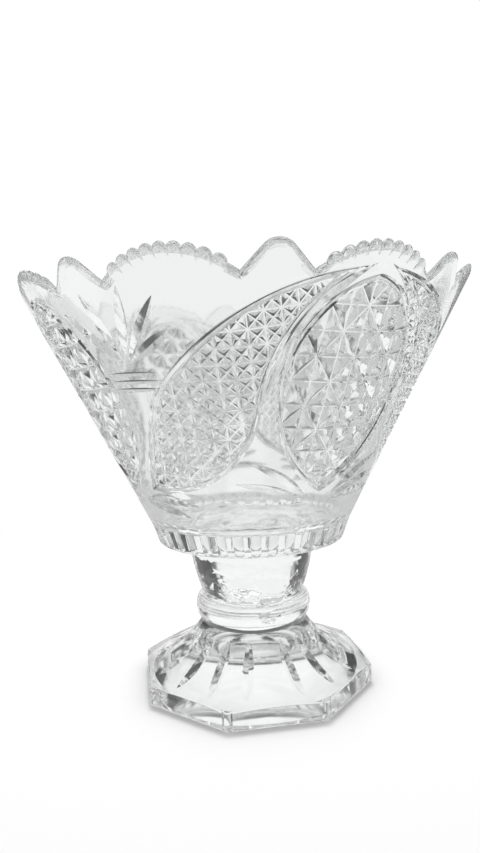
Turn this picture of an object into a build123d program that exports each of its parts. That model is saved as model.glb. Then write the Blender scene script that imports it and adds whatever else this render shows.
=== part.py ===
from build123d import *
import os
from math import asin, atan2, cos, hypot, pi, radians, sin, sqrt

# Footed glass vase with a pressed pattern, in millimetres, standing on Z = 0 with its axis on Z.
# Angles round the axis are in degrees from +X.

# Foot: an eight-sided plate that rises as a bell to a bead
foot_sides = 8
foot_across_flats = 101.6
foot_turn = 2.8
foot_corner_round = 2.0
foot_side_height = 7.9
foot_ground_rim = 4.5
foot_hollow_height = 20.5
foot_edge_break = 0.8
bell_radius = 42.0
neck_radius = 24.4
neck_height = 28.8
foot_bead_height = 7.0

# Rays pressed in the bell, in four groups
ray_groups = 4
ray_group_offset = 22.5
rays_in_group = 4
ray_spacing = 20.0
ray_tip_radius = 47.5
ray_width = 4.8
ray_depth = 1.2

# Stem: a collar that meets the foot's bead at its widest, then a swelling taper
seam_radius = 26.9
collar_height = 5.8
stem_low_radius = 23.5
stem_top_radius = 29.2
stem_height = 25.2
stem_swell_radius = 87.0

# Register pegs on the stem, and the cement between the glass pieces
peg_radius = 13.0
peg_length = 2.5
peg_clearance = 0.25
cement_thickness = 0.3
cement_set_back = 0.5

# Bowl: a straight flare on a fluted band
base_radius = 42.9
base_edge_round = 1.6
band_height = 9.6
band_top_radius = 46.4
rim_height = 118.0
rim_radius = 101.0
bowl_wall = 5.0
rim_wall = 4.0
bowl_floor = 10.0
floor_round = 8.0
flute_count = 40
flute_radius = 2.6
flute_depth = 1.1
flute_margin = 2.4

# Rim: beaded scallops with a plain lobe between each two
scallop_count = 8
scallop_half_angle = 15.0
notch_depth = 9.8
lobe_drop = 0.6
lobe_crown = 8.0
bead_count = 9
bead_width = 5.0
bead_height = 1.7

# Pressed pattern: each point is an angle from the motif's own axis and a height above the bowl's base
cut_depth = 0.8
fan_oval_azimuths = (0.0, 180.0)
comma_oval_azimuths = (90.0, 270.0)
oval_side = ((0.0, 28.0), (16.6, 43.3), (21.2, 66.0), (17.5, 86.6), (0.0, 107.0))
comma_axis = 35.0
comma_toe = (-39.0, 29.5)
comma_tail = (32.5, 109.4)
comma_back = (comma_toe, (-28.0, 54.0), (-21.0, 69.0), (-2.4, 89.7), comma_tail)
comma_front = (comma_tail, (19.8, 95.0), (9.6, 62.1), (1.0, 41.0), comma_toe)
fan_axis = 30.0
fan_root = (0.0, 79.5)
fan_tips = ((0.0, 106.5), (8.5, 105.0), (-8.5, 105.0), (12.5, 96.0), (-12.5, 96.0))
fan_root_gap = 3.0
fan_leaf_width = 4.4
spray_root = (2.0, 24.6)
tall_spray_tips = ((29.0, 41.7), (35.0, 33.3), (41.5, 25.8))
low_spray_tips = ((41.5, 24.8), (33.0, 18.0))
spray_root_gap = 9.0
spray_leaf_width = 3.6

# Heights and radii that follow from those
foot_corner_radius = foot_across_flats / 2 / cos(pi / foot_sides)
foot_top = neck_height + foot_bead_height
stem_base = foot_top + cement_thickness
stem_low = stem_base + collar_height
stem_top = stem_low + stem_height
bowl_base = stem_top + cement_thickness
band_top = bowl_base + band_height
floor_level = bowl_base + bowl_floor
rim_top = bowl_base + rim_height
wall_slope = (rim_radius - band_top_radius) / (rim_top - band_top)
wall_tilt = sqrt(1 + wall_slope**2)
socket_radius = peg_radius + peg_clearance
socket_depth = peg_length - cement_thickness + peg_clearance


def revolved(*edges):
    return revolve(Plane.XZ * make_face(edges), Axis.Z)


def around(count, solid):
    return [Rot(0, 0, place * 360 / count) * solid for place in range(count)]


def facing(azimuth):
    outward = (cos(radians(azimuth)), sin(radians(azimuth)), 0)
    sideways = (-sin(radians(azimuth)), cos(radians(azimuth)), 0)
    return Plane(origin=(0, 0, 0), x_dir=sideways, z_dir=outward)


def wall_radius(level):
    return band_top_radius + (level - band_top) * wall_slope


def on_wall(point, side=1):
    angle, height = point
    level = bowl_base + height
    return (side * wall_radius(level) * sin(radians(angle)), level)


def leaf(root, tip, width, gap=0.0):
    tip = Vector(*tip)
    along = (tip - Vector(*root)).normalized()
    start = Vector(*root) + along * gap
    across = Vector(-along.Y, along.X) * width / 2
    middle = (start + tip) / 2
    one_side = ThreePointArc(start, middle + across, tip)
    return make_face([one_side, ThreePointArc(tip, middle - across, start)])


def make_foot():
    edge = (foot_corner_radius, foot_side_height)
    neck = (neck_radius, neck_height)
    seam = (seam_radius, foot_top)
    bell = revolved(
        Polyline((0, foot_top), (0, 0), (foot_corner_radius, 0), edge),
        RadiusArc(edge, neck, bell_radius),
        TangentArc(seam, neck, tangent=(0, -1)),
        Line(seam, (0, foot_top)),
    )
    octagon = RegularPolygon(foot_corner_radius, foot_sides)
    octagon = fillet(octagon.vertices(), foot_corner_round)
    foot = bell & extrude(octagon, foot_top)
    foot = chamfer(foot.faces().sort_by(Axis.Z)[0].edges(), foot_edge_break)
    hollow_radius = foot_across_flats / 2 - foot_ground_rim
    cap_radius = (hollow_radius**2 + foot_hollow_height**2) / 2 / foot_hollow_height
    foot -= Pos(0, 0, foot_hollow_height - cap_radius) * Sphere(cap_radius)
    foot -= Pos(0, 0, foot_top - socket_depth / 2) * Cylinder(socket_radius, socket_depth)
    ray_layer = bell - Pos(0, 0, -ray_depth) * bell
    ray = leaf((neck_radius - ray_width, 0), (ray_tip_radius, 0), ray_width)
    rays = []
    for group in range(ray_groups):
        group_middle = ray_group_offset + group * 360 / ray_groups
        for place in range(rays_in_group):
            turn = group_middle + (place - (rays_in_group - 1) / 2) * ray_spacing
            rays.append(extrude(Rot(0, 0, turn) * ray, neck_height) & ray_layer)
    return Rot(0, 0, foot_turn) * (foot - rays)


def make_stem():
    seam = (seam_radius, stem_base)
    low = (stem_low_radius, stem_low)
    top = (stem_top_radius, stem_top)
    stem = revolved(
        Polyline((0, stem_top), (0, stem_base), seam),
        TangentArc(seam, low, tangent=(0, 1)),
        RadiusArc(low, top, -stem_swell_radius),
        Line(top, (0, stem_top)),
    )
    stem += Pos(0, 0, stem_base - peg_length / 2) * Cylinder(peg_radius, peg_length)
    return stem + Pos(0, 0, stem_top + peg_length / 2) * Cylinder(peg_radius, peg_length)


def make_cement(outer_radius, level):
    ring = Cylinder(outer_radius - cement_set_back, cement_thickness)
    ring -= Cylinder(socket_radius, cement_thickness)
    return Pos(0, 0, level + cement_thickness / 2) * ring


def make_flute():
    low = Vector(base_radius, 0, bowl_base)
    run = Vector(band_top_radius, 0, band_top) - low
    outward = Vector(run.Z, 0, -run.X).normalized() * (flute_radius - flute_depth)
    start = low + run * (flute_margin / band_height) + outward
    shaft = Pos(0, 0, run.length / 2) * Cylinder(flute_radius, run.length)
    return Plane(origin=start, z_dir=run) * (Sphere(flute_radius) + shaft)


def make_rim_cut():
    notch_side, notch_level = on_wall((scallop_half_angle, rim_height - notch_depth))
    tip_side, tip_level = on_wall((180 / scallop_count, rim_height - lobe_drop))
    rise = notch_depth - bead_height
    arch_radius = (notch_side**2 + rise**2) / 2 / rise
    arch_centre = rim_top - bead_height - arch_radius

    def on_arch(length, lift=0.0):
        turn = length / arch_radius
        return ((arch_radius + lift) * sin(turn), arch_centre + (arch_radius + lift) * cos(turn))

    arch_end = arch_radius * asin(notch_side / arch_radius)
    beads_end = bead_count * bead_width / 2
    plain = (arch_end + beads_end) / 2
    above = rim_top + rim_wall
    past = tip_side + rim_wall
    crown_side = tip_side - notch_side
    crown_lift = tip_level - lobe_crown - notch_level
    climb = atan2(crown_lift, crown_side) + asin(lobe_crown / hypot(crown_side, crown_lift))
    flank = sqrt(crown_side**2 + crown_lift**2 - lobe_crown**2)
    shoulder_side = notch_side + flank * cos(climb)
    shoulder_level = notch_level + flank * sin(climb)
    edges = [
        Polyline((0, above), (past, above), (past, tip_level), (tip_side, tip_level)),
        Polyline((0, above), (-past, above), (-past, tip_level), (-tip_side, tip_level)),
    ]
    for side in (1, -1):
        tip = (side * tip_side, tip_level)
        shoulder = (side * shoulder_side, shoulder_level)
        notch = (side * notch_side, notch_level)
        edges.append(TangentArc(tip, shoulder, tangent=(-side, 0)))
        edges.append(Line(shoulder, notch))
        edges.append(ThreePointArc(notch, on_arch(side * plain), on_arch(side * beads_end)))
    for place in range(bead_count):
        start = place * bead_width - beads_end
        crown = on_arch(start + bead_width / 2, bead_height)
        edges.append(ThreePointArc(on_arch(start), crown, on_arch(start + bead_width)))
    return extrude(facing(0) * make_face(edges), rim_radius + bowl_wall)


def arcs_through(points, side=1):
    places = [on_wall(point, side) for point in points]
    return [ThreePointArc(*places[first : first + 3]) for first in range(0, len(places) - 2, 2)]


def oval_panel():
    return make_face(arcs_through(oval_side) + arcs_through(oval_side, -1))


def comma_panel(side):
    return make_face(arcs_through(comma_back, side) + arcs_through(comma_front, side))


def leaf_fan():
    root = on_wall(fan_root)
    return [leaf(root, on_wall(tip), fan_leaf_width, fan_root_gap) for tip in fan_tips]


def leaf_spray(tips):
    leaves = []
    for side in (1, -1):
        root = on_wall(spray_root, side)
        leaves += [leaf(root, on_wall(tip, side), spray_leaf_width, spray_root_gap) for tip in tips]
    return leaves


def make_pattern():
    depth = cut_depth * wall_tilt
    layer = revolved(
        Polyline(
            (band_top_radius - depth, band_top),
            (band_top_radius + depth, band_top),
            (rim_radius + depth, rim_top),
            (rim_radius - depth, rim_top),
            close=True,
        )
    )
    motifs = []
    for azimuth in fan_oval_azimuths:
        motifs.append((azimuth, [oval_panel(), *leaf_spray(low_spray_tips)]))
        motifs.append((azimuth + fan_axis, leaf_fan()))
        motifs.append((azimuth - fan_axis, leaf_fan()))
    for azimuth in comma_oval_azimuths:
        motifs.append((azimuth, [oval_panel(), *leaf_spray(tall_spray_tips)]))
        motifs.append((azimuth - comma_axis, [comma_panel(1)]))
        motifs.append((azimuth + comma_axis, [comma_panel(-1)]))
    cuts = []
    for azimuth, sketches in motifs:
        for sketch in sketches:
            cuts.append(extrude(facing(azimuth) * sketch, rim_radius + bowl_wall) & layer)
    return cuts


def make_bowl():
    inner_rim = rim_radius - rim_wall * wall_tilt
    inner_floor = wall_radius(floor_level) - bowl_wall * wall_tilt
    outside = [(0, bowl_base), (base_radius, bowl_base), (band_top_radius, band_top)]
    inside = [(inner_rim, rim_top), (inner_floor, floor_level), (0, floor_level)]
    bowl = revolved(
        FilletPolyline(*outside, radius=base_edge_round),
        Polyline((band_top_radius, band_top), (rim_radius, rim_top), (inner_rim, rim_top)),
        FilletPolyline(*inside, radius=floor_round),
        Line((0, floor_level), (0, bowl_base)),
    )
    bowl -= Pos(0, 0, bowl_base + socket_depth / 2) * Cylinder(socket_radius, socket_depth)
    bowl -= around(flute_count, make_flute())
    bowl -= around(scallop_count, make_rim_cut())
    return bowl - make_pattern()


parts = {
    "foot": make_foot(),
    "foot_cement": make_cement(seam_radius, foot_top),
    "stem": make_stem(),
    "bowl_cement": make_cement(stem_top_radius, stem_top),
    "bowl": make_bowl(),
}

os.makedirs("parts", exist_ok=True)
for name, solid in parts.items():
    export_step(solid, f"parts/{name}.step")
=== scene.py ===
from math import acos, asin, atan2, ceil, cos, degrees, floor, hypot, inf, pi, radians, sin, sqrt, tan

import bpy
from mathutils import Matrix, Vector
from mathutils.geometry import delaunay_2d_cdt


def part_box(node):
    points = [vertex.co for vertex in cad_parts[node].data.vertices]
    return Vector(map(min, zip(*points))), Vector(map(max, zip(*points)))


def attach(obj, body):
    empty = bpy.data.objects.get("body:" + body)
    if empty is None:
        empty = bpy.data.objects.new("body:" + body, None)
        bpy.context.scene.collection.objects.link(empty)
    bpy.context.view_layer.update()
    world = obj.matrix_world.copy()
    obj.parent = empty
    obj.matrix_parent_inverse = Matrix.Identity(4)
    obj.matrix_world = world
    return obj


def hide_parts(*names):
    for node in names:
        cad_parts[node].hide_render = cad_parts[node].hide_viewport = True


mm = 0.001  # sizes below are in millimetres, the frame is in metres

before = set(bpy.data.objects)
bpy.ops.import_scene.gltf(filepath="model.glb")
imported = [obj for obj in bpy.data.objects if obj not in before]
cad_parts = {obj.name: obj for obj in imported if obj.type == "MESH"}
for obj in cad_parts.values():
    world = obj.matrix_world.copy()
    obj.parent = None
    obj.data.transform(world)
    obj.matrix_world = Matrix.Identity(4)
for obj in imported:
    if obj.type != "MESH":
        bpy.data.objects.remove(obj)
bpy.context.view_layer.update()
print("frame loaded:", sorted(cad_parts))


# helpers

def boxOf(node):
    low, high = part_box(node)
    return low / mm, high / mm


def deselectAll():
    if bpy.context.mode != "OBJECT":
        bpy.ops.object.mode_set(mode="OBJECT")
    bpy.ops.object.select_all(action="DESELECT")


def makeActive(piece):
    deselectAll()
    piece.select_set(True)
    bpy.context.view_layer.objects.active = piece


def linear(hexColour):
    channels = [int(hexColour[i : i + 2], 16) / 255 for i in (1, 3, 5)]
    return [c / 12.92 if c <= 0.04045 else ((c + 0.055) / 1.055) ** 2.4 for c in channels] + [1.0]


def addNode(tree, kind, links=None, **settings):
    node = tree.nodes.new("ShaderNode" + kind)
    for name, value in settings.items():
        if name in node.inputs:
            node.inputs[name].default_value = value
        else:
            setattr(node, name, value)
    for socket, source in (links or {}).items():
        tree.links.new(source, node.inputs[socket])
    return node


def newMaterial(name):
    material = bpy.data.materials.new(name)
    material.use_nodes = True
    material.node_tree.nodes.clear()
    return material, material.node_tree


# materials

glassLook = {
    "colour": "#f8f9f9",
    "ior": 1.52,
}

outsideLook = {  # fire polished
    "name": "pressed clear glass",
    "roughness": 0.0,
    "rippleMm": 9.0,  # width of the soft waves that pressing leaves
    "rippleHeightMm": 0.02,
}

insideLook = {  # as the plunger left it, a little wavy
    "name": "clear glass as the plunger left it",
    "roughness": 0.09,
    "rippleMm": 14.0,
    "rippleHeightMm": 0.15,
}

rimLook = {  # softened by the fire, a little satin
    "name": "clear glass of the rim",
    "roughness": 0.05,
    "rippleMm": 9.0,
    "rippleHeightMm": 0.02,
}

floorLook = {  # uneven bottom of the bowl
    "name": "wavy clear glass of the bottom",
    "roughness": 0.0,
    "rippleMm": 8.0,
    "rippleHeightMm": 0.5,
}

wrinkledLook = {  # chilled by the mould just over the collar
    "name": "clear glass with chill wrinkles",
    "roughness": 0.0,
    "rippleMm": 6.0,
    "rippleHeightMm": 1.6,
    "fade": (43.0, 58.0),  # mm over the floor, from wrinkled to smooth
    "smoothShare": 0.3,  # ripple that is left above the fade
}


def makePressedGlass(look):
    # pressed soda glass: clear, sharp highlights and a faint ripple
    material, tree = newMaterial(look["name"])
    place = addNode(tree, "TexCoord")
    waves = addNode(
        tree, "TexNoise", {"Vector": place.outputs["Object"]},
        Scale=1 / (look["rippleMm"] * mm), Detail=1.0,
    )
    height = waves.outputs["Fac"]
    if "fade" in look:
        low, high = look["fade"]
        split = addNode(tree, "SeparateXYZ", {0: place.outputs["Object"]})
        fade = addNode(
            tree, "MapRange", {"Value": split.outputs["Z"]}, interpolation_type="SMOOTHSTEP",
            **{"From Min": low * mm, "From Max": high * mm, "To Min": 1.0, "To Max": look["smoothShare"]},
        )
        faded = addNode(tree, "Math", {0: height, 1: fade.outputs["Result"]}, operation="MULTIPLY")
        height = faded.outputs["Value"]
    ripple = addNode(
        tree, "Bump", {"Height": height}, Strength=1.0, Distance=look["rippleHeightMm"] * mm,
    )
    shader = addNode(
        tree, "BsdfPrincipled", {"Normal": ripple.outputs["Normal"]},
        Roughness=look["roughness"], IOR=glassLook["ior"],
        **{"Base Color": linear(glassLook["colour"]), "Transmission Weight": 1.0},
    )
    addNode(tree, "OutputMaterial", {"Surface": shader.outputs["BSDF"]})
    return material


def makeBondedFace():
    # glass face wetted by clear cement: the two match, so light passes straight on
    material, tree = newMaterial("glass bonded with clear cement")
    shader = addNode(
        tree, "BsdfPrincipled", Roughness=0.0, IOR=1.0,
        **{"Base Color": linear("#ffffff"), "Transmission Weight": 1.0},
    )
    addNode(tree, "OutputMaterial", {"Surface": shader.outputs["BSDF"]})
    return material


finishes = {
    "outside": makePressedGlass(outsideLook),
    "bonded": makeBondedFace(),
    "inside": makePressedGlass(insideLook),
    "rim": makePressedGlass(rimLook),
    "bottom": makePressedGlass(floorLook),
}
wrinkledGlass = makePressedGlass(wrinkledLook)
print("materials made")


# bowl

bowl = {
    "bandHeight": 9.6,
    "baseRadius": 42.9,
    "bandTopRadius": 46.4,
    "edgeRound": 1.6,
    "ledge": 0.9,  # step over the flutes
    "wall": 5.0,
    "rimWall": 4.0,
    "floor": 10.0,
    "floorRound": 8.0,
    "flutes": 40,
    "fluteRadius": 2.6,
    "fluteDepth": 1.1,
    "fluteMargin": 2.4,
    "fluteEnd": 0.35,  # least share of a flute's width, at its lower end
    "sharpAngle": 12.0,
    "plainStep": 3.0,  # mesh spacing on the plain wall
    "plainRow": 0.87,  # spacing of its rows, as a share of the step
    "edgeClear": 0.4,  # steps that plain points keep from the wall's edge
    "cutClear": 0.3,  # and from a cut
    "inFlute": 6,  # mesh columns across half a flute
    "betweenFlutes": 4,
    "bandSteps": 14,
    "edgeSteps": 5,
    "insideSteps": 9,
    "bendSteps": 10,
    "floorRings": (0.6, 0.2, 0.0),  # shares of the flat floor's radius
}

rim = {
    "scallops": 8,
    "halfAngle": 15.0,
    "notchDepth": 9.8,
    "lobeDrop": 0.6,
    "lobeCrown": 8.0,
    "beads": 9,
    "beadWidth": 5.0,
    "beadHeight": 1.7,
    "strip": 2.6,  # smooth strip that the beads stand on
    "slant": 0.6,  # how far the strip leans over the wall instead of turning into it
    "beadSteps": 8,
    "plainSteps": 3,
    "flankSteps": 4,
    "crownSteps": 8,
    "turnSteps": 8,  # rows from the outer face over the crest to the inner one
}

joint = {
    "socketRadius": 13.25,
    "socketDepth": 2.45,
    "filmGap": 0.02,  # keeps the film's faces off the glass faces
    "levelSlack": 0.01,  # mm, for telling which faces lie in the joint
    "wallSlack": 0.5,
}

bowlLow, bowlHigh = boxOf("bowl")
baseLevel = bowlLow.z
rimHeight = bowlHigh.z - bowlLow.z
rimRadius = bowlHigh.x
wallSlope = (rimRadius - bowl["bandTopRadius"]) / (rimHeight - bowl["bandHeight"])
coneSine = wallSlope / sqrt(1 + wallSlope**2)
coneCosine = 1 / sqrt(1 + wallSlope**2)


def wallRadius(height):
    return bowl["bandTopRadius"] + (height - bowl["bandHeight"]) * wallSlope


def wallThickness(height):
    share = (height - bowl["floor"]) / (rimHeight - bowl["floor"])
    return bowl["wall"] + (bowl["rimWall"] - bowl["wall"]) * share


def innerRadius(height):
    return wallRadius(height) - wallThickness(height) / coneCosine


def unroll(angle, height):
    # point of the cone's wall laid out flat; angle in degrees from -X towards -Y
    slant = wallRadius(height) / coneSine
    turn = radians(angle) * coneSine
    return Vector((slant * sin(turn), slant * cos(turn)))


def rollUp(flat):
    # the flat point's turn, radius and height on the wall
    radius = flat.length * coneSine
    height = bowl["bandHeight"] + (radius - bowl["bandTopRadius"]) / wallSlope
    return atan2(flat.x, flat.y) / coneSine, radius, height


def wrap(flat, lift):
    turn, radius, height = rollUp(flat)
    return ring(turn, radius + lift * coneCosine, height - lift * coneSine)


def ring(turn, radius, height):
    # turn in radians from -X towards -Y, height over the bowl's base
    return Vector((-radius * cos(turn), -radius * sin(turn), baseLevel + height)) * mm


def ringRow(angles, radius, height):
    return [ring(radians(a), radius, height) for a in angles]


def arcThrough(a, b, c, steps):
    # points on the circle through three flat points, from a to c
    ab, ac = b - a, c - a
    cross = 2 * (ab.x * ac.y - ab.y * ac.x)
    centre = a + Vector((
        ac.y * ab.length_squared - ab.y * ac.length_squared,
        ab.x * ac.length_squared - ac.x * ab.length_squared,
    )) / cross
    start, middle, end = (atan2(p.y - centre.y, p.x - centre.x) for p in (a, b, c))
    sweep = (end - start) % (2 * pi)
    if (middle - start) % (2 * pi) > sweep:
        sweep -= 2 * pi
    radius = (a - centre).length
    turns = [start + sweep * i / steps for i in range(steps + 1)]
    return [centre + radius * Vector((cos(t), sin(t))) for t in turns]


def roundCorner(before, corner, after, radius, steps):
    inward, onward = (before - corner).normalized(), (after - corner).normalized()
    half = acos(max(-1.0, min(1.0, inward.dot(onward)))) / 2
    reach = radius / tan(half)
    centre = corner + (inward + onward).normalized() * radius / sin(half)
    middle = centre + (corner - centre).normalized() * radius
    return arcThrough(corner + inward * reach, middle, corner + onward * reach, steps)


# rim line of half a scallop: beads on an arch, a plain end, then the lobe's flank and crown

def faceToWall(point):
    # a point seen square on (sideways, height) as (angle, height) on the wall
    return degrees(asin(point.x / wallRadius(point.y))), point.y


def wallToFace(angle, height):
    return Vector((wallRadius(height) * sin(radians(angle)), height))


def halfScallop():
    # the crest with its beads, and the same line without them
    notch = wallToFace(rim["halfAngle"], rimHeight - rim["notchDepth"])
    tip = wallToFace(180 / rim["scallops"], rimHeight - rim["lobeDrop"])
    rise = rim["notchDepth"] - rim["beadHeight"]
    archRadius = (notch.x**2 + rise**2) / 2 / rise
    archCentre = rimHeight - rim["beadHeight"] - archRadius

    def onArch(length, lift=0.0):
        turn = length / archRadius
        return Vector(((archRadius + lift) * sin(turn), archCentre + (archRadius + lift) * cos(turn)))

    crest = []
    width, steps = rim["beadWidth"], rim["beadSteps"]
    for place in range(rim["beads"] // 2 + 1):
        start = (place - 0.5) * width
        top = onArch(start + width / 2, rim["beadHeight"])
        bead = arcThrough(onArch(start), top, onArch(start + width), steps)
        crest += bead[steps // 2 : -1] if place == 0 else bead[:-1]
    middle = Vector((0, archCentre))
    smooth = [middle + (p - middle).normalized() * archRadius for p in crest]
    beadsEnd = rim["beads"] * width / 2
    archEnd = archRadius * asin(notch.x / archRadius)
    steps = rim["plainSteps"]
    rest = [onArch(beadsEnd + (archEnd - beadsEnd) * i / steps) for i in range(steps)]
    crown = Vector((tip.x, tip.y - rim["lobeCrown"]))
    toCrown = crown - notch
    climb = atan2(toCrown.y, toCrown.x) + asin(rim["lobeCrown"] / toCrown.length)
    flank = sqrt(toCrown.length_squared - rim["lobeCrown"] ** 2)
    shoulder = notch + flank * Vector((cos(climb), sin(climb)))
    steps = rim["flankSteps"]
    rest += [notch.lerp(shoulder, i / steps) for i in range(steps)]
    top = radians(90)
    begin = climb + top
    steps = rim["crownSteps"]
    turns = [begin + (top - begin) * i / steps for i in range(steps + 1)]
    rest += [crown + rim["lobeCrown"] * Vector((cos(t), sin(t))) for t in turns]
    return [[faceToWall(p) for p in part + rest] for part in (crest, smooth)]


def stripEdge(smooth):
    # lower edge of the strip under the crest
    flat = [unroll(*p) for p in smooth]
    edge = []
    for i, p in enumerate(flat):
        inward = -p.normalized()
        if 0 < i < len(flat) - 1:
            along = ((p - flat[i - 1]).normalized() + (flat[i + 1] - p).normalized()).normalized()
            inward = Vector((along.y, -along.x))
        turn, _, height = rollUp(p + inward * rim["strip"])
        edge.append((degrees(turn), height))
    return edge


def rimLine(half):
    step = 360 / rim["scallops"]
    line = []
    for scallop in range(2):
        line += [(scallop * step + a, h) for a, h in half[:-1]]
        line += [((scallop + 1) * step - a, h) for a, h in reversed(half)]
        line.pop()
    return line + [(2 * step, half[0][1])]


# pressed pattern, each point an angle from the motif's own axis and a height over the base

pattern = {
    "ovalSide": ((0, 28), (16.6, 43.3), (21.2, 66), (17.5, 86.6), (0, 107)),
    "commaAxis": 55.0,
    "commaBack": ((-39, 29.5), (-28, 54), (-21, 69), (-2.4, 89.7), (32.5, 109.4)),
    "commaFront": ((32.5, 109.4), (19.8, 95), (9.6, 62.1), (1, 41), (-39, 29.5)),
    "border": 2.4,
    "borderDepth": 1.2,
    "borderSteps": 4,
    "step": 0.35,  # slope from the border down to the field
    "cutWidth": 0.5,  # flat bottom of the cuts between the points
    "cutClear": 0.06,  # ends of cuts stay this far off the field's outline
    "cells": 14,  # star cells drawn each way, more than a panel holds
    "arcSteps": 8,  # fewest parts of an arc, longer ones have one for each millimetre
    "shrinkSlack": 0.03,  # an outline drawn inside itself may come this much nearer
    "weld": 1e-4,
}

starField = {  # eight-ray stars of the ovals
    "halfPitch": 8.0,
    "rowPitch": 9.8,
    "starHeight": 61.4,
    "depth": 1.9,
}

fineField = {  # small stars of the commas
    "axis": 49.2,
    "pitch": 6.05,
    "starHeight": 61.6,
    "depth": 0.85,
}

leafCuts = {
    "fanRoot": (29.5, 79.8),
    "fanTips": ((14.5, 99.4), (22.7, 105.3), (33.8, 106.0), (41.5, 102.0), (44.2, 91.7)),
    "fanGap": 2.2,
    "fanWidth": 4.6,
    "fanDepth": 2.3,
    "fanGrooves": (71.0, 73.9, 76.8),
    "grooveEnds": (21.5, 37.5),
    "grooveWidth": 1.9,
    "grooveDepth": 0.6,
    "sprayRoot": (2.0, 24.4),
    "tallTips": ((29.0, 41.7), (35.0, 33.3), (41.5, 25.8)),
    "lowTips": ((42.0, 28.0), (40.5, 23.2), (33.0, 18.0)),
    "sprayGap": 5.0,
    "sprayWidth": 4.0,
    "sprayDepth": 2.1,
    "bladeLine": ((33.2, 110.2), (20.6, 95), (10.4, 64)),  # broad cut down the comma's front
    "bladeWidth": 5.0,
    "bladeDepth": 2.4,
    "sprayBow": 0.07,  # how far a leaf bows, as a share of its length
    "ribSteps": 14,
    "taper": 0.8,  # below 1 a leaf stays broad towards its ends
    "near": 1.3,  # points further off, in leaf lengths, are left out at once
}


def outlineOf(arcs, axis, side=1):
    line = []
    for points in arcs:
        places = [wallToFace(*p) for p in points]
        for i in range(0, len(places) - 2, 2):
            length = (places[i + 2] - places[i]).length
            line += arcThrough(*places[i : i + 3], max(pattern["arcSteps"], round(length)))[:-1]
    return [unroll(axis + side * a, h) for a, h in map(faceToWall, line)]


def distanceTo(point, line, closed=True):
    best = inf
    count = len(line)
    for i in range(count if closed else count - 1):
        a, b = line[i], line[(i + 1) % count]
        abx, aby = b.x - a.x, b.y - a.y
        px, py = point.x - a.x, point.y - a.y
        t = max(0.0, min(1.0, (px * abx + py * aby) / (abx * abx + aby * aby)))
        best = min(best, (px - t * abx) ** 2 + (py - t * aby) ** 2)
    return sqrt(best)


def isInside(point, line):
    inside = False
    last = line[-1]
    for p in line:
        if (p.y > point.y) != (last.y > point.y):
            if point.x < (last.x - p.x) * (point.y - p.y) / (last.y - p.y) + p.x:
                inside = not inside
        last = p
    return inside


def depthInside(point, line):
    distance = distanceTo(point, line)
    return distance if isInside(point, line) else -distance


def shrink(line, distance):
    # the outline drawn again inside itself, without the loops at its tips
    if distance == 0:
        return list(line)
    moved = []
    count = len(line)
    for i, p in enumerate(line):
        along = (line[(i + 1) % count] - line[i - 1]).normalized()
        for across in (Vector((-along.y, along.x)), Vector((along.y, -along.x))):
            q = p + across * distance
            if isInside(q, line) and distanceTo(q, line) > distance - pattern["shrinkSlack"]:
                moved.append(q)
                break
    return moved


def clipped(a, b, line):
    # the parts of a straight cut that lie inside an outline
    run = b - a
    stops = [0.0, 1.0]
    last = line[-1]
    for p in line:
        edge = p - last
        cross = run.x * edge.y - run.y * edge.x
        if abs(cross) > 1e-9:
            t = ((last.x - a.x) * edge.y - (last.y - a.y) * edge.x) / cross
            u = ((last.x - a.x) * run.y - (last.y - a.y) * run.x) / cross
            if 0 < t < 1 and 0 <= u <= 1:
                stops.append(t)
        last = p
    stops.sort()
    margin = pattern["cutClear"] / run.length
    parts = []
    for s, e in zip(stops, stops[1:]):
        if isInside(a + run * (s + e) / 2, line):
            begin = s + margin if s > 0 else s
            end = e - margin if e < 1 else e
            if end - begin > margin:
                parts.append((a + run * begin, a + run * end))
    return parts


def starTriangles(origin, across, upward, i, j):
    # one cell of the star lattice, split by the diagonal that runs through the stars
    corners = ((0, 0), (1, 0), (1, 1), (0, 1))
    a, b, c, d = (origin + across * (i + right) + upward * (j + up) for right, up in corners)
    if (i + j) % 2 == 0:
        return (a, b, c), (a, c, d)
    return (a, b, d), (b, c, d)


def incentre(triangle):
    a, b, c = triangle
    la, lb, lc = (b - c).length, (c - a).length, (a - b).length
    total = la + lb + lc
    middle = (a * la + b * lb + c * lc) / total
    area = abs((b.x - a.x) * (c.y - a.y) - (b.y - a.y) * (c.x - a.x)) / 2
    return middle, 2 * area / total


def sideDistance(point, triangle):
    # smallest distance to the triangle's sides, negative outside it
    least = inf
    a, b, c = triangle
    turn = 1 if (b.x - a.x) * (c.y - a.y) - (b.y - a.y) * (c.x - a.x) > 0 else -1
    for p, q in ((a, b), (b, c), (c, a)):
        run = q - p
        least = min(least, turn * (run.x * (point.y - p.y) - run.y * (point.x - p.x)) / run.length)
    return least


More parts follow.
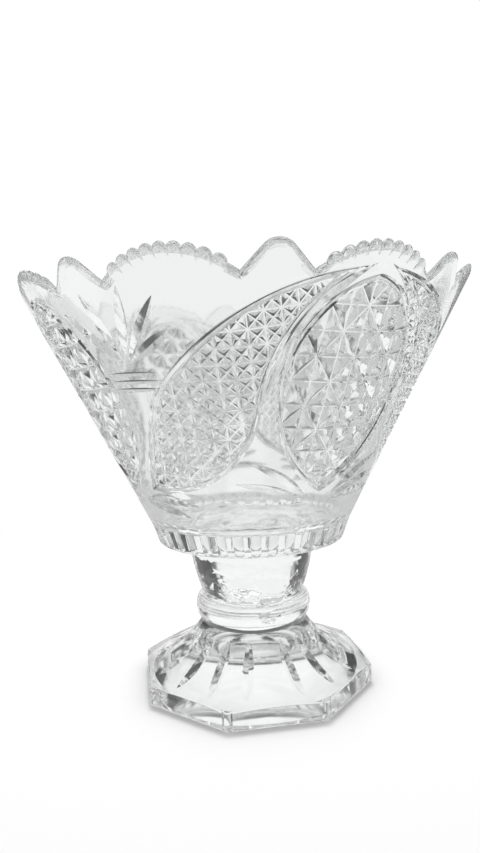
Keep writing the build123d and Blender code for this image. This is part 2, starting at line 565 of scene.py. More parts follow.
class Panel:
    # a bordered field of stars: small three-sided points between flat-bottomed cuts

    def __init__(self, outline, origin, upward, across, depth):
        self.outline = outline
        self.depth = depth
        self.origin, self.upward, self.across = origin, upward, across
        self.field = shrink(outline, pattern["border"] + pattern["step"])
        self.cuts = []
        cells = range(-pattern["cells"], pattern["cells"])
        for i in cells:
            for j in cells:
                for triangle in starTriangles(origin, across, upward, i, j):
                    middle, self.inradius = incentre(triangle)
                    share = 1 - pattern["cutWidth"] / 2 / self.inradius
                    a, b, c = (middle + (p - middle) * share for p in triangle)
                    for start, end in ((a, b), (b, c), (c, a), (middle, a), (middle, b), (middle, c)):
                        self.cuts += clipped(start, end, self.field)

    def lines(self):
        shares = [i / pattern["borderSteps"] for i in range(pattern["borderSteps"] + 1)]
        rings = [shrink(self.outline, pattern["border"] * s) for s in shares]
        return [(line, True) for line in rings + [self.field]] + [(list(cut), False) for cut in self.cuts]

    def lift(self, point):
        inside = depthInside(point, self.outline)
        border = pattern["border"]
        if inside <= 0:
            return 0.0
        if inside < border:
            return -pattern["borderDepth"] * sin(pi * inside / border)
        share = min(1.0, (inside - border) / pattern["step"])
        offset = point - self.origin
        i = floor(offset.dot(self.across) / self.across.length_squared)
        j = floor(offset.dot(self.upward) / self.upward.length_squared)
        cell = starTriangles(self.origin, self.across, self.upward, i, j)
        nearest = max(sideDistance(point, t) for t in cell) - pattern["cutWidth"] / 2
        rise = max(0.0, nearest) / (self.inradius - pattern["cutWidth"] / 2)
        return -share * self.depth * (1 - min(1.0, rise))


def bowedRib(root, tip, bow=0.0):
    run = tip - root
    steps = leafCuts["ribSteps"]
    across = Vector((-run.y, run.x))
    shares = [i / steps for i in range(steps + 1)]
    return [root + run * t + across * (bow * 4 * t * (1 - t)) for t in shares]


class LeafCut:
    # a pointed V cut with a curved midrib

    def __init__(self, rib, width, depth):
        self.rib = rib
        steps = len(rib) - 1
        shares = [i / steps for i in range(steps + 1)]
        self.half = [width / 2 * sin(pi * t) ** leafCuts["taper"] for t in shares]
        self.depth, self.width = depth, width
        self.sides = [[], []]
        for i in range(1, steps):
            along = (self.rib[i + 1] - self.rib[i - 1]).normalized()
            normal = Vector((-along.y, along.x))
            self.sides[0].append(self.rib[i] + normal * self.half[i])
            self.sides[1].append(self.rib[i] - normal * self.half[i])
        self.outline = [self.rib[0]] + self.sides[0] + [self.rib[-1]] + self.sides[1][::-1]

    def lines(self):
        return [(self.outline, True), (self.rib, False)]

    def lift(self, point):
        length = (self.rib[-1] - self.rib[0]).length
        if (point - self.rib[0]).length > length * leafCuts["near"]:
            return 0.0
        if not isInside(point, self.outline):
            return 0.0
        toSide = distanceTo(point, self.outline)
        toRib = distanceTo(point, self.rib, False)
        if toRib + toSide < 1e-6:
            return 0.0
        nearest = min(range(len(self.rib)), key=lambda i: (self.rib[i] - point).length_squared)
        return -self.depth * self.half[nearest] * 2 / self.width * toSide / (toSide + toRib)


def ovalPanel(axis):
    oval = outlineOf((pattern["ovalSide"],), axis)
    other = outlineOf((pattern["ovalSide"],), axis, -1)
    outline = oval + [unroll(axis, pattern["ovalSide"][-1][1])] + other[:0:-1]
    origin = unroll(axis, starField["starHeight"])
    upward = origin.normalized()
    across = Vector((upward.y, -upward.x))
    upward, across = upward * starField["rowPitch"], across * starField["halfPitch"]
    return Panel(outline, origin, upward, across, starField["depth"])


def commaPanel():
    outline = outlineOf((pattern["commaBack"], pattern["commaFront"]), pattern["commaAxis"])
    origin = unroll(fineField["axis"], fineField["starHeight"])
    upward = origin.normalized()
    across = Vector((upward.y, -upward.x))
    half = fineField["pitch"] / 2
    return Panel(outline, origin, (upward + across) * half, (across - upward) * half, fineField["depth"])


def leafPatterns():
    cuts = []
    root = unroll(*leafCuts["fanRoot"])
    for tip in leafCuts["fanTips"]:
        end = unroll(*tip)
        start = root + (end - root).normalized() * leafCuts["fanGap"]
        cuts.append(LeafCut(bowedRib(start, end), leafCuts["fanWidth"], leafCuts["fanDepth"]))
    for height in leafCuts["fanGrooves"]:
        ends = [unroll(a, height) for a in leafCuts["grooveEnds"]]
        cuts.append(LeafCut(bowedRib(*ends), leafCuts["grooveWidth"], leafCuts["grooveDepth"]))
    for axis, side, tips in ((0, 1, leafCuts["lowTips"]), (90, -1, leafCuts["tallTips"])):
        root = unroll(axis + side * leafCuts["sprayRoot"][0], leafCuts["sprayRoot"][1])
        for tip in tips:
            end = unroll(axis + side * tip[0], tip[1])
            start = root + (end - root).normalized() * leafCuts["sprayGap"]
            bow = side * leafCuts["sprayBow"]
            cuts.append(LeafCut(bowedRib(start, end, bow), leafCuts["sprayWidth"], leafCuts["sprayDepth"]))
    rib = outlineOf((leafCuts["bladeLine"],), pattern["commaAxis"])
    cuts.append(LeafCut(rib, leafCuts["bladeWidth"], leafCuts["bladeDepth"]))
    return cuts


class Shell:
    # gathers the points and faces of one piece; each face has its finish by name

    def __init__(self):
        self.points = []
        self.faces = []
        self.finish = []

    def addGrid(self, rows, finishOf):
        first = len(self.points)
        width = len(rows[0])
        for row in rows:
            self.points += row
        for i in range(len(rows) - 1):
            for j in range(width - 1):
                a = first + i * width + j
                self.faces.append((a, a + 1, a + width + 1, a + width))
                self.finish.append(finishOf(i))

    def makePiece(self, name):
        mesh = bpy.data.meshes.new(name)
        mesh.from_pydata(self.points, [], self.faces)
        for material in finishes.values():
            mesh.materials.append(material)
        slots = list(finishes)
        for face, finish in zip(mesh.polygons, self.finish):
            face.material_index = slots.index(finish)
        piece = bpy.data.objects.new(name, mesh)
        bpy.context.scene.collection.objects.link(piece)
        return piece


def fluteAngles(height, radius, bandShare):
    # columns follow the flutes' edges, so those stay sharp; in degrees
    margin = bowl["fluteMargin"]
    deep = bowl["fluteRadius"] - bowl["fluteDepth"]
    full = sqrt(bowl["fluteRadius"] ** 2 - deep**2)
    below = max(0.0, margin - height) * bandShare
    half = sqrt(max(full**2 - below**2, (bowl["fluteEnd"] * full) ** 2))
    spacing = 360 / bowl["flutes"]
    edge = degrees(half / radius)
    inFlute, between = bowl["inFlute"], bowl["betweenFlutes"]
    angles = []
    for flute in range(bowl["flutes"] // 4):
        axis = flute * spacing
        angles += [axis + edge * k / inFlute for k in range(inFlute + 1)]
        angles += [axis + edge + (spacing - 2 * edge) * k / between for k in range(1, between)]
        angles += [axis + spacing - edge + edge * k / inFlute for k in range(inFlute)]
    return angles + [90.0]


def fluteLift(angle, height, radius, bandShare):
    spacing = 360 / bowl["flutes"]
    offset = (angle + spacing / 2) % spacing - spacing / 2
    sideways = radians(offset) * radius
    below = max(0.0, bowl["fluteMargin"] - height) * bandShare
    reach = hypot(sideways, below)
    deep = bowl["fluteRadius"] - bowl["fluteDepth"]
    return -max(0.0, sqrt(max(0.0, bowl["fluteRadius"] ** 2 - reach**2)) - deep)


def plainPoints(border, features):
    # even points for the plain wall between the cuts
    step = bowl["plainStep"]
    count = ceil(max(p.length for p in border) / step) + 2
    points = []
    for i in range(1, count):
        for j in range(1, count):
            p = Vector(((i + 0.5 * (j % 2)) * step, j * step * bowl["plainRow"]))
            if isInside(p, border) and distanceTo(p, border) > step * bowl["edgeClear"]:
                if all(depthInside(p, f.outline) < -step * bowl["cutClear"] for f in features):
                    points.append(p)
    return points


def addWall(shell, line, ledgeTop):
    # outer wall of one quarter, drawn flat with its pattern and wrapped round the cone
    features = [ovalPanel(0), ovalPanel(90), commaPanel()] + leafPatterns()
    low = [unroll(a, ledgeTop) for a in fluteAngles(ledgeTop, wallRadius(ledgeTop), 1)]
    high = [unroll(a, h) for a, h in line]
    slantSteps = round((high[0] - low[0]).length / bowl["plainStep"])
    rightSide = [low[-1].lerp(high[-1], i / slantSteps) for i in range(1, slantSteps)]
    leftSide = [high[0].lerp(low[0], i / slantSteps) for i in range(1, slantSteps)]
    border = low + rightSide + high[::-1] + leftSide
    points = list(border)
    edges = []
    for feature in features:
        for drawn, closed in feature.lines():
            if not closed and not isInside(drawn[len(drawn) // 2].lerp(drawn[0], 0.5), border):
                continue
            first = len(points)
            points += drawn
            edges += [(first + i, first + i + 1) for i in range(len(drawn) - 1)]
            if closed:
                edges.append((first + len(drawn) - 1, first))
    points += plainPoints(border, features)
    edge = [list(range(len(border)))]
    flat, _, triangles, _, _, _ = delaunay_2d_cdt(points, edges, edge, 1, pattern["weld"])
    kept = [t for t in triangles if isInside(sum((flat[i] for i in t), Vector((0, 0))) / 3, border)]
    place = {i: k for k, i in enumerate(sorted({i for t in kept for i in t}))}
    shell.points += [wrap(flat[i], min(f.lift(flat[i]) for f in features)) for i in place]
    shell.faces += [tuple(place[i] for i in t) for t in kept]
    shell.finish += ["outside"] * len(kept)
    print("bowl wall drawn:", len(kept), "triangles")


def addInside(shell, line, crest):
    # over the crest, down the inner wall and across the floor
    rows = []
    steps = rim["turnSteps"]
    for i in range(steps + 1):
        turn = pi * i / steps
        across = rim["slant"] * i / steps + (1 - rim["slant"]) * (1 - cos(turn)) / 2
        row = []
        for (angle, height), (crestAngle, crestHeight) in zip(line, crest):
            level = height + (crestHeight - height) * sin(turn)
            radius = wallRadius(level) + (innerRadius(level) - wallRadius(level)) * across
            row.append(ring(radians(angle + (crestAngle - angle) * sin(turn)), radius, level))
        rows.append(row)
    bottom = bowl["floor"]
    wallTop = Vector((innerRadius(rimHeight), rimHeight))
    corner = Vector((innerRadius(bottom), bottom))
    bend = roundCorner(wallTop, corner, Vector((0, bottom)), bowl["floorRound"], bowl["bendSteps"])
    for i in range(1, bowl["insideSteps"]):
        row = []
        for angle, height in line:
            level = height + (bend[0].y - height) * i / bowl["insideSteps"]
            row.append(ring(radians(angle), innerRadius(level), level))
        rows.append(row)
    bendFrom = len(rows)
    angles = [angle for angle, _ in line]
    rows += [ringRow(angles, p.x, p.y) for p in bend]
    rows += [ringRow(angles, bend[-1].x * share, bottom) for share in bowl["floorRings"]]
    shell.addGrid(rows, lambda row: "rim" if row < steps else "inside" if row < bendFrom else "bottom")


def addBand(shell, ledgeTop):
    # ledge, fluted band and the base with its socket
    baseCorner = Vector((bowl["baseRadius"], 0))
    top = Vector((bowl["bandTopRadius"], bowl["bandHeight"]))
    bandRun = top - baseCorner
    bandShare = bandRun.length / bandRun.y
    normal = Vector((bandRun.y, -bandRun.x)).normalized()
    edge = roundCorner(Vector((0, 0)), baseCorner, top, bowl["edgeRound"], bowl["edgeSteps"])
    steps = bowl["bandSteps"]
    profile = [top.lerp(edge[-1], i / steps) for i in range(steps)] + edge[::-1]
    ledge = wallRadius(ledgeTop)
    rows = [ringRow(fluteAngles(ledgeTop, ledge, 1), ledge, ledgeTop)]
    for p in profile:
        row = []
        for a in fluteAngles(p.y, p.x, bandShare):
            moved = p + normal * fluteLift(a, p.y, p.x, bandShare)
            row.append(ring(radians(a), moved.x, moved.y))
        rows.append(row)
    bondFrom = len(rows)
    angles = fluteAngles(0, profile[-1].x, bandShare)
    socket, deep = joint["socketRadius"], joint["socketDepth"]
    bond = boxOf("bowl_cement")[1].x
    bonded = ((bond, 0), (socket, 0), (socket, deep), (0, deep))
    rows += [ringRow(angles, *station) for station in bonded]
    shell.addGrid(rows, lambda row: "bonded" if row >= bondFrom else "outside")


def makeBowl():
    shell = Shell()
    beaded, smooth = halfScallop()
    line = rimLine(stripEdge(smooth))
    ledgeTop = bowl["bandHeight"] + bowl["ledge"]
    addWall(shell, line, ledgeTop)
    addInside(shell, line, rimLine(beaded))
    addBand(shell, ledgeTop)
    piece = shell.makePiece("glassBowl")
    finishShell(piece, mirrored=True, sharpAngle=bowl["sharpAngle"])
    return piece


mending = {  # mm, points nearer than this become one
    "weld": 0.002,
    "sliver": 0.001,
}


def finishShell(piece, mirrored, sharpAngle):
    makeActive(piece)
    if mirrored:
        mirror = piece.modifiers.new("four quarters", "MIRROR")
        mirror.use_axis = (True, True, False)
        mirror.merge_threshold = mending["weld"] * mm
        bpy.ops.object.modifier_apply(modifier=mirror.name)
    bpy.ops.object.mode_set(mode="EDIT")
    bpy.ops.mesh.select_all(action="SELECT")
    bpy.ops.mesh.remove_doubles(threshold=mending["weld"] * mm)
    bpy.ops.mesh.dissolve_degenerate(threshold=mending["sliver"] * mm)
    bpy.ops.mesh.select_all(action="SELECT")
    bpy.ops.mesh.normals_make_consistent(inside=False)
    bpy.ops.object.mode_set(mode="OBJECT")
    bpy.ops.object.shade_smooth_by_angle(angle=radians(sharpAngle))
    weighted = piece.modifiers.new("weighted normals", "WEIGHTED_NORMAL")
    weighted.keep_sharp = True
    bpy.ops.object.modifier_apply(modifier=weighted.name)


glassBowl = makeBowl()
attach(glassBowl, "root")
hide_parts("bowl")
print("bowl made:", len(glassBowl.data.polygons), "faces")


# foot

foot = {
    "sides": 8,
    "acrossFlats": 101.6,
    "turn": 2.8,
    "cornerRound": 2.0,
    "sideHeight": 7.9,
    "topEdgeRound": 0.7,
    "edgeBreak": 0.8,
    "groundRim": 4.5,
    "hollow": 20.5,
    "bellRadius": 42.0,
    "neckRadius": 24.4,
    "neckHeight": 28.8,
    "seamRadius": 26.9,
    "columns": 720,
    "beadSteps": 10,
    "bellSteps": 72,
    "edgeSteps": 4,
    "hollowSteps": 24,
    "sharpAngle": 20.0,
}

rays = {  # long V cuts, widest just before their middle
    "groups": 4,
    "groupOffset": 22.5,
    "inGroup": 4,
    "spacing": 20.0,
    "rootRadius": 26.5,
    "tipRadius": 47.5,
    "width": 4.8,
    "depth": 1.9,
    "taper": 0.6,  # power with which a ray closes at its tip
    "fullness": 2.13,  # brings its widest place to the full width
}

footTop = boxOf("foot")[1].z
cornerRadius = foot["acrossFlats"] / 2 / cos(pi / foot["sides"])
footAngles = [360 * i / foot["columns"] for i in range(foot["columns"] + 1)]


def uprightArc(start, end, steps):
    # arc in the profile plane that leaves its start straight up or down
    inward = start.x - end.x
    radius = (inward**2 + (end.y - start.y) ** 2) / 2 / inward
    sweep = asin((end.y - start.y) / radius)
    turns = [sweep * i / steps for i in range(steps + 1)]
    return [Vector((start.x - radius * (1 - cos(t)), start.y + radius * sin(t))) for t in turns]


def footOutline(angle):
    # from the axis to the eight-sided edge with its rounded corners; angle in degrees from a corner
    sector = 360 / foot["sides"]
    fromCorner = abs((angle + sector / 2) % sector - sector / 2)
    flat = foot["acrossFlats"] / 2 / cos(radians(sector / 2 - fromCorner))
    centre = cornerRadius - foot["cornerRound"] / cos(radians(sector / 2))
    swing = centre * sin(radians(fromCorner))
    if swing >= foot["cornerRound"]:
        return flat
    return min(flat, centre * cos(radians(fromCorner)) + sqrt(foot["cornerRound"] ** 2 - swing**2))


def rayDepth(angle, radius):
    share = (radius - rays["rootRadius"]) / (rays["tipRadius"] - rays["rootRadius"])
    if not 0 < share < 1:
        return 0.0
    full = rays["fullness"] * sqrt(share) * (1 - share) ** rays["taper"]
    half = rays["width"] / 2 * full
    deepest = 0.0
    group = 360 / rays["groups"]
    for place in range(rays["inGroup"]):
        axis = rays["groupOffset"] + (place - (rays["inGroup"] - 1) / 2) * rays["spacing"]
        offset = (angle - axis + group / 2) % group - group / 2
        sideways = abs(radians(offset)) * radius
        deepest = max(deepest, rays["depth"] * full * (1 - sideways / half))
    return deepest


def footLevel(points):
    # one point (radius, height) for each column, set round the axis
    turns = [radians(a + foot["turn"]) for a in footAngles]
    return [Vector((p.x * cos(t), p.x * sin(t), p.y)) * mm for t, p in zip(turns, points)]


def roundLevel(radius, height):
    return footLevel([Vector((radius, height))] * len(footAngles))


def bellRows(neck, outline):
    # the bell from its neck to the eight-sided edge, with the rays in it, then the rounded edge
    bellRadius, edgeRound = foot["bellRadius"], foot["topEdgeRound"]
    edge = Vector((cornerRadius, foot["sideHeight"]))
    half = (neck - edge) / 2
    rise = sqrt(bellRadius**2 - half.length_squared)
    centre = edge + half + Vector((half.y, -half.x)).normalized() * rise
    start = atan2(neck.y - centre.y, neck.x - centre.x) % (2 * pi)
    rows = []
    for i in range(1, foot["bellSteps"] + 1):
        row = []
        for a, reach in zip(footAngles, outline):
            end = pi + acos((centre.x - reach + edgeRound) / bellRadius)
            turn = start + (end - start) * i / foot["bellSteps"]
            outward = -Vector((cos(turn), sin(turn)))
            p = centre - outward * bellRadius
            row.append(p - outward * rayDepth(a, p.x))
        rows.append(footLevel(row))
    brinks = [reach - edgeRound for reach in outline]
    shoulder = [centre.y - sqrt(bellRadius**2 - (centre.x - brink) ** 2) for brink in brinks]
    for i in range(1, foot["edgeSteps"] + 1):
        turn = radians(90) * (1 - i / foot["edgeSteps"])
        inset, drop = edgeRound * (1 - cos(turn)), edgeRound * (1 - sin(turn))
        rows.append(footLevel([Vector((reach - inset, top - drop)) for reach, top in zip(outline, shoulder)]))
    return rows


def hollowRows():
    hollowRadius = foot["acrossFlats"] / 2 - foot["groundRim"]
    cap = (hollowRadius**2 + foot["hollow"] ** 2) / 2 / foot["hollow"]
    steps = foot["hollowSteps"]
    turns = [asin(hollowRadius / cap) * (1 - i / steps) for i in range(steps + 1)]
    return [roundLevel(cap * sin(t), foot["hollow"] - cap + cap * cos(t)) for t in turns]


def makeFoot():
    shell = Shell()
    neck = Vector((foot["neckRadius"], foot["neckHeight"]))
    socket, socketFloor = joint["socketRadius"], footTop - joint["socketDepth"]
    bond = boxOf("foot_cement")[1].x
    bonded = ((0, socketFloor), (socket, socketFloor), (socket, footTop), (bond, footTop))
    rows = [roundLevel(*station) for station in bonded]
    bondRows = len(rows) - 1
    bead = uprightArc(Vector((foot["seamRadius"], footTop)), neck, foot["beadSteps"])
    rows += [roundLevel(p.x, p.y) for p in bead]
    outline = [footOutline(a) for a in footAngles]
    rows += bellRows(neck, outline)
    rows.append(footLevel([Vector((reach, foot["edgeBreak"])) for reach in outline]))
    rows.append(footLevel([Vector((reach - foot["edgeBreak"], 0)) for reach in outline]))
    hollowFrom = len(rows)
    rows += hollowRows()

    def finishOf(row):
        if row < bondRows:
            return "bonded"
        return "inside" if row >= hollowFrom else "outside"

    shell.addGrid(rows, finishOf)
    piece = shell.makePiece("glassFoot")
    finishShell(piece, mirrored=False, sharpAngle=foot["sharpAngle"])
    return piece


glassFoot = makeFoot()
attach(glassFoot, "root")
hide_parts("foot")
print("foot made:", len(glassFoot.data.polygons), "faces")


# stem and cement

stem = {
    "pegRadius": 13.0,
    "pegLength": 2.5,
    "seamRadius": 26.9,
    "collarHeight": 5.8,
    "lowRadius": 23.5,
    "topRadius": 29.2,
    "swellRadius": 87.0,
    "sides": 160,
    "collarSteps": 10,
    "swellSteps": 20,
    "sharpAngle": 25.0,
}


def turnedPiece(name, stations, solid):
    # a round piece drawn up ring by ring; one that isn't solid joins its last ring to its first
    deselectAll()
    radius, height = stations[0]
    bpy.ops.mesh.primitive_circle_add(
        vertices=stem["sides"], radius=radius * mm, fill_type="NGON" if solid else "NOTHING",
        location=(0, 0, height * mm), enter_editmode=True,
    )
    piece = bpy.context.object
    piece.name = name
    bpy.ops.mesh.select_all(action="SELECT")
    extrude = bpy.ops.mesh.extrude_region_move if solid else bpy.ops.mesh.extrude_edges_move
    for nextRadius, nextHeight in stations[1:]:
        extrude(TRANSFORM_OT_translate={"value": (0, 0, (nextHeight - height) * mm)})
        share = nextRadius / radius
        bpy.ops.transform.resize(value=(share, share, 1), center_override=(0, 0, nextHeight * mm))
        radius, height = nextRadius, nextHeight
    if not solid:
        bpy.ops.mesh.select_mode(type="EDGE")
        bpy.ops.mesh.select_all(action="DESELECT")
        bpy.ops.mesh.select_non_manifold(extend=False)
        bpy.ops.mesh.bridge_edge_loops()
    bpy.ops.mesh.select_all(action="SELECT")
    bpy.ops.mesh.normals_make_consistent(inside=False)
    bpy.ops.object.mode_set(mode="OBJECT")
    bpy.ops.object.transform_apply(location=True, rotation=True, scale=True)
    bpy.ops.object.shade_smooth_by_angle(angle=radians(stem["sharpAngle"]))
    return piece


def bondFaces(piece, isBonded):
    piece.data.materials.append(finishes["outside"])
    piece.data.materials.append(finishes["bonded"])
    for face in piece.data.polygons:
        middle = face.center / mm
        face.material_index = 1 if isBonded(hypot(middle.x, middle.y), middle.z, face.normal.z) else 0


def makeStem():
    low, high = boxOf("stem")
    base = low.z + stem["pegLength"]
    top = high.z - stem["pegLength"]
    lowBond, topBond = boxOf("foot_cement")[1].x, boxOf("bowl_cement")[1].x
    collarTop = Vector((stem["lowRadius"], base + stem["collarHeight"]))
    head = Vector((stem["topRadius"], top))
    rise = head - collarTop
    swell = stem["swellRadius"] - sqrt(stem["swellRadius"] ** 2 - rise.length_squared / 4)
    waist = (collarTop + head) / 2 + Vector((rise.y, -rise.x)).normalized() * swell
    stations = [(stem["pegRadius"], low.z), (stem["pegRadius"], base), (lowBond, base)]
    collar = uprightArc(Vector((stem["seamRadius"], base)), collarTop, stem["collarSteps"])
    column = arcThrough(collarTop, waist, head, stem["swellSteps"])[1:]
    stations += [tuple(p) for p in collar + column]
    stations += [(topBond, top), (stem["pegRadius"], top), (stem["pegRadius"], high.z)]
    piece = turnedPiece("glassStem", stations, solid=True)
    under, over = base + joint["levelSlack"], top - joint["levelSlack"]
    bondFaces(piece, lambda r, z, up: (z < under and r < lowBond) or (z > over and r < topBond))
    piece.data.materials.append(wrinkledGlass)
    for face in piece.data.polygons:
        if face.material_index == 0 and face.center.z / mm > collarTop.y:
            face.material_index = 2
    return piece


def makeCement(name, node):
    low, high = boxOf(node)
    inner, outer = joint["socketRadius"], high.x
    under, over = low.z + joint["filmGap"], high.z - joint["filmGap"]
    piece = turnedPiece(name, [(inner, under), (outer, under), (outer, over), (inner, over)], solid=False)
    bondFaces(piece, lambda r, z, up: abs(up) > 0.5 or r < inner + joint["wallSlack"])
    return piece


glassStem = makeStem()
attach(glassStem, "root")
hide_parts("stem")
films = []
for name, node in (("cementUnderStem", "foot_cement"), ("cementOverStem", "bowl_cement")):
    film = makeCement(name, node)
    films.append(film)
    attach(film, "root")
    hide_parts(node)
print("stem and cement made")


# stage

stage = {
    "floorSize": 6.0,
    "floorColour": "#ffffff",
    "shadowReach": (0.14, 0.40),  # metres from the axis over which the floor fades to plain white
    "skyLight": 0.72,
    "lampSize": 0.3,
    "lampPlace": (0.25, 0.45, 0.9),
    "lampPower": 3.9,
    "shadeHeight": 7.0,  # mm, height of the unseen black strip inside the foot's edge that keeps light off the floor: a stand-in shadow for the glass foot, which casts none
    "shadeInset": 0.6,
    "surround": 0.95,  # brightness of the white walls as the glass sees them
    "ringDark": 0.07,
    "ceiling": 0.9,
    "flagDark": 0.07,
    "floorCard": (0.11, 0.36),  # metres, inner and outer radius of the grey ring on the floor
    "floorCardColour": "#cecece",
    "cardSides": 96,
    "cardLift": 0.0002,
    "floorDrop": 0.0001,  # keeps the floor off the ground rim
    "ringHeights": (0.215, 0.29, 0.42, 0.62),  # sines: surround ends, dark from, dark to, ceiling from
    "flags": 4,
    "flagHeading": 20.0,  # degrees from +X, middle of one dark card
    "flagEdge": (0.05, 0.6),  # cosines of the repeated angle, from clear to dark
    "bounces": 32,
    "glossyBounces": 16,
}

camera = {
    "place": (-150.3, -265.6, 140.85),
    "heading": (0.4825, 0.8759),
    "pitch": 4.15,
    "roll": -1.94,
    "lens": 27.58,
    "sensor": 36,
    "clip": (0.01, 50),
}


def makeCamera():
    data = bpy.data.cameras.new("camera")
    data.lens = camera["lens"]
    data.sensor_width = camera["sensor"]
    data.clip_start, data.clip_end = camera["clip"]
    heading = Vector((*camera["heading"], 0)).normalized()
    pitch, roll = radians(camera["pitch"]), radians(camera["roll"])
    forward = heading * cos(pitch) - Vector((0, 0, 1)) * sin(pitch)
    level = heading.cross(Vector((0, 0, 1)))
    up = level.cross(forward)
    right = level * cos(roll) + up * sin(roll)
    up = right.cross(forward)
    turn = Matrix((right, up, -forward)).transposed()
    seen = bpy.data.objects.new("camera", data)
    seen.matrix_world = Matrix.Translation(Vector(camera["place"]) * mm) @ turn.to_4x4()
    bpy.context.scene.collection.objects.link(seen)
    bpy.context.scene.camera = seen


def setRamp(node, stops):
    ramp = node.color_ramp
    while len(ramp.elements) < len(stops):
        ramp.elements.new(0.5)
    for element, (place, value) in zip(ramp.elements, stops):
        element.position = place
        element.color = (value, value, value, 1)


def makeFloor():
    deselectAll()
    bpy.ops.mesh.primitive_plane_add(size=stage["floorSize"], location=(0, 0, -stage["floorDrop"]))
    sheet = bpy.context.object
    sheet.name = "floor"
    material, tree = newMaterial("white paper floor")
    place = addNode(tree, "TexCoord")
    distance = addNode(tree, "VectorMath", {0: place.outputs["Object"]}, operation="LENGTH")
    near, far = stage["shadowReach"]
    fade = addNode(
        tree, "MapRange", {"Value": distance.outputs["Value"]}, interpolation_type="SMOOTHSTEP",
        **{"From Min": near, "From Max": far},
    )
    path = addNode(tree, "LightPath")
    notDiffuse = addNode(tree, "Math", {1: path.outputs["Is Diffuse Ray"]}, operation="SUBTRACT")
    notDiffuse.inputs[0].default_value = 1.0
    share = addNode(
        tree, "Math", {0: fade.outputs["Result"], 1: notDiffuse.outputs["Value"]},
        operation="MULTIPLY",
    )
    paper = addNode(tree, "BsdfDiffuse", Color=linear(stage["floorColour"]))
    white = addNode(tree, "Emission", Strength=1.0)
    mixed = addNode(
        tree, "MixShader",
        {0: share.outputs["Value"], 1: paper.outputs["BSDF"], 2: white.outputs["Emission"]},
    )
    addNode(tree, "OutputMaterial", {"Surface": mixed.outputs["Shader"]})
    sheet.data.materials.append(material)


def makeShade():
    # the foot's thick edge turns light aside: a black strip inside it, unseen, gives the floor that shadow
    deselectAll()
    height = stage["shadeHeight"] * mm
    bpy.ops.mesh.primitive_cylinder_add(
        vertices=foot["sides"], radius=(cornerRadius - stage["shadeInset"]) * mm, depth=height,
        end_fill_type="NOTHING", location=(0, 0, height / 2),
        rotation=(0, 0, radians(foot["turn"] + 90)),
    )
    strip = bpy.context.object
    strip.name = "shadowStrip"
    material, tree = newMaterial("black card")
    card = addNode(tree, "BsdfDiffuse", Color=linear("#000000"))
    addNode(tree, "OutputMaterial", {"Surface": card.outputs["BSDF"]})
    strip.data.materials.append(material)
    strip.visible_camera = strip.visible_glossy = strip.visible_transmission = False
    for piece in (glassBowl, glassFoot, glassStem, *films):  # clear glass, so the light goes on through it
        piece.visible_shadow = piece.visible_diffuse = False


def makeFloorCard():
    # grey ring that only the glass sees, so that facets turned to the floor show up
    deselectAll()
    inner, outer = stage["floorCard"]
    middle = (0, 0, stage["cardLift"])
    bpy.ops.mesh.primitive_circle_add(
        vertices=stage["cardSides"], radius=inner, location=middle, enter_editmode=True,
    )
    card = bpy.context.object
    card.name = "floorCard"
    bpy.ops.mesh.select_all(action="SELECT")
    bpy.ops.mesh.extrude_edges_move()
    bpy.ops.transform.resize(value=(outer / inner, outer / inner, 1), center_override=middle)
    bpy.ops.object.mode_set(mode="OBJECT")
    material, tree = newMaterial("grey card")
    glow = addNode(tree, "Emission", Color=linear(stage["floorCardColour"]), Strength=1.0)
    addNode(tree, "OutputMaterial", {"Surface": glow.outputs["Emission"]})
    card.data.materials.append(material)
    card.visible_camera = card.visible_diffuse = card.visible_shadow = False


def makeLamp():
    lamp = bpy.data.lights.new("soft box", "AREA")
    lamp.size = stage["lampSize"]
    lamp.energy = stage["lampPower"]
    box = bpy.data.objects.new("soft box", lamp)
    box.location = stage["lampPlace"]
    box.rotation_euler = (-Vector(stage["lampPlace"])).to_track_quat("-Z", "Y").to_euler()
    box.visible_glossy = False
    box.visible_transmission = False
    bpy.context.scene.collection.objects.link(box)


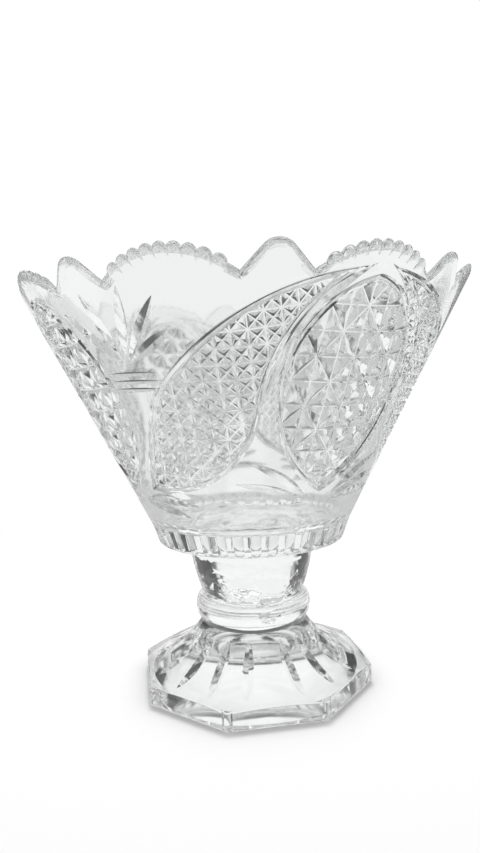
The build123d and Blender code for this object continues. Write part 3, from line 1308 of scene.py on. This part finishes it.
def makeWorld():
    # the camera sees plain white; the glass sees a white surround with dark flags, which draw its edges
    world = bpy.data.worlds.new("white studio")
    bpy.context.scene.world = world
    world.use_nodes = True
    tree = world.node_tree
    tree.nodes.clear()
    heading = addNode(tree, "TexCoord")
    split = addNode(tree, "SeparateXYZ", {0: heading.outputs["Generated"]})
    # a dark ring above the white surround, and the soft ceiling above that
    darkRing = addNode(tree, "ValToRGB", {"Fac": split.outputs["Z"]})
    tones = (stage["surround"], stage["ringDark"], stage["ringDark"], stage["ceiling"])
    setRamp(darkRing, list(zip(stage["ringHeights"], tones)))
    # upright dark cards, evenly round
    around = addNode(
        tree, "Math", {0: split.outputs["Y"], 1: split.outputs["X"]}, operation="ARCTAN2",
    )
    turned = addNode(tree, "Math", {0: around.outputs["Value"]}, operation="SUBTRACT")
    turned.inputs[1].default_value = radians(stage["flagHeading"])
    repeated = addNode(tree, "Math", {0: turned.outputs["Value"]}, operation="MULTIPLY")
    repeated.inputs[1].default_value = stage["flags"]
    wave = addNode(tree, "Math", {0: repeated.outputs["Value"]}, operation="COSINE")
    cards = addNode(tree, "ValToRGB", {"Fac": wave.outputs["Value"]})
    setRamp(cards, list(zip(stage["flagEdge"], (1.0, stage["flagDark"]))))
    both = addNode(
        tree, "VectorMath", {0: darkRing.outputs["Color"], 1: cards.outputs["Color"]},
        operation="MINIMUM",
    )
    path = addNode(tree, "LightPath")
    flags = addNode(tree, "Background", {"Color": both.outputs["Vector"]}, Strength=1.0)
    plain = addNode(tree, "Background", Color=linear("#ffffff"), Strength=stage["skyLight"])
    white = addNode(tree, "Background", Color=linear("#ffffff"), Strength=1.0)
    bounced = addNode(tree, "Math", {0: path.outputs["Diffuse Depth"]}, operation="GREATER_THAN")
    bounced.inputs[1].default_value = 0.5
    lit = addNode(
        tree, "MixShader",
        {0: bounced.outputs["Value"], 1: flags.outputs["Background"], 2: plain.outputs["Background"]},
    )
    seen = addNode(
        tree, "MixShader",
        {0: path.outputs["Is Camera Ray"], 1: lit.outputs["Shader"], 2: white.outputs["Background"]},
    )
    addNode(tree, "OutputWorld", {"Surface": seen.outputs["Shader"]})


makeCamera()
makeFloor()
makeShade()
makeFloorCard()
makeLamp()
makeWorld()
bpy.context.scene.view_settings.view_transform = "Standard"
bpy.context.scene.cycles.max_bounces = stage["bounces"]
bpy.context.scene.cycles.transmission_bounces = stage["bounces"]
bpy.context.scene.cycles.glossy_bounces = stage["glossyBounces"]
print("stage set")
